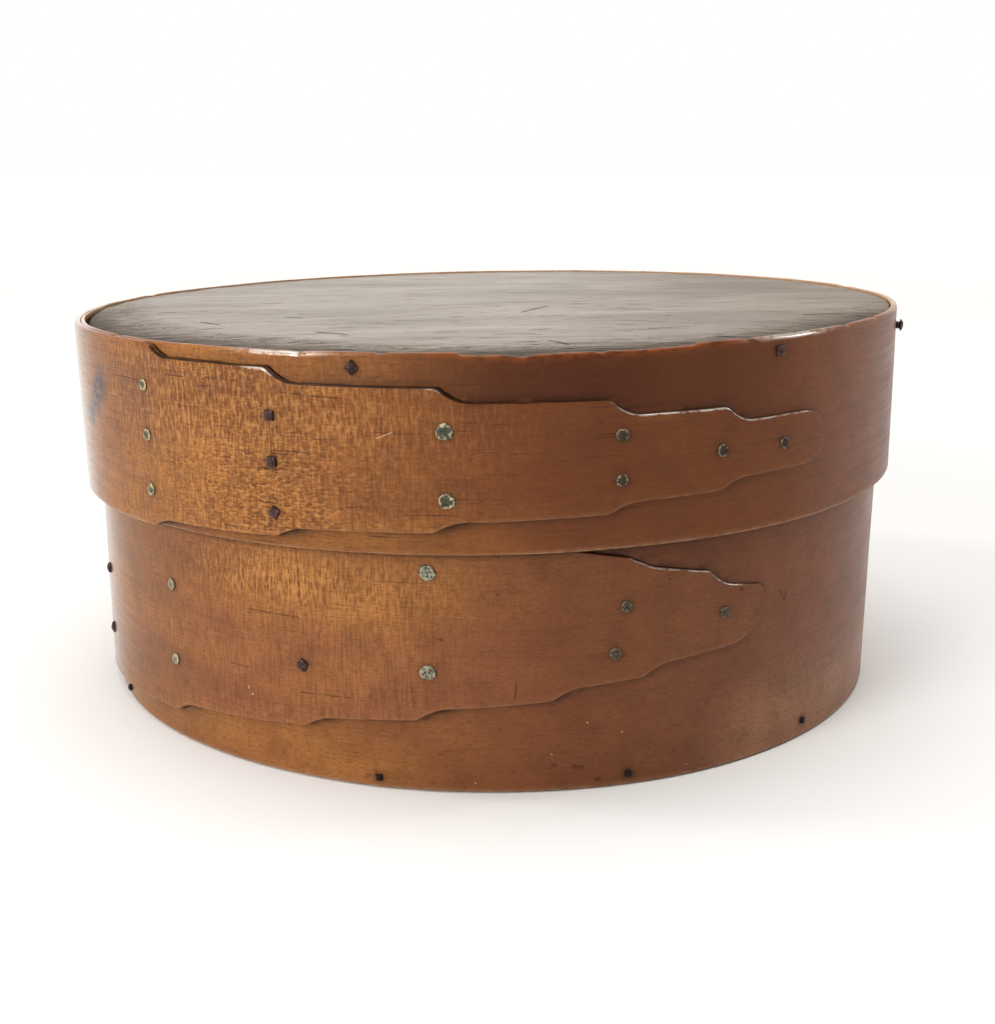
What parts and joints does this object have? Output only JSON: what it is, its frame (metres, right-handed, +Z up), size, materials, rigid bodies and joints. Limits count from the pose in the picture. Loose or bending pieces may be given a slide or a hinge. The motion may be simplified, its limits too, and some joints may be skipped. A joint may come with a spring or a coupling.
{
  "type": "bentwood pantry box",
  "caption": "Round bentwood pantry box with a lift-off lid, thin wooden bands lapped in stepped fingers, and copper tacks and iron nails.",
  "frame": {"origin": "centre of the underside of the bottom board, where the box stands", "axes": "+Z up through the lid, -Y towards the lapped front, +X to the right as seen from the front"},
  "size_m": [0.2, 0.2008, 0.0911],
  "materials": {
    "band_wood": "old satin varnish, worn at the edges",
    "board_wood": "weathered, satin sheen",
    "copper": "hammered heads with a grey-green patina",
    "iron": "dark rust"
  },
  "bodies": {
    "box": {"bottom_board": "board_wood", "body_band": "band_wood", "body_root_nails": "iron", "body_seam_tacks": "copper", "body_lap_nails": "iron", "body_large_tacks": "copper", "body_pair_tacks": "copper", "body_tip_tack": "copper", "bottom_nails": "iron"},
    "lid": {"lid_board": "board_wood", "lid_band": "band_wood", "lid_seam_tacks": "copper", "lid_lap_nails": "iron", "lid_large_tacks": "copper", "lid_pair_tacks": "copper", "lid_tip_tacks": "copper", "lid_board_nails": "iron"}
  },
  "joints": [
    {"name": "lid_lift", "type": "slide", "parent": "box", "child": "lid", "axis": [0, 0, 1], "range_m": [0, 0.1]}
  ]
}
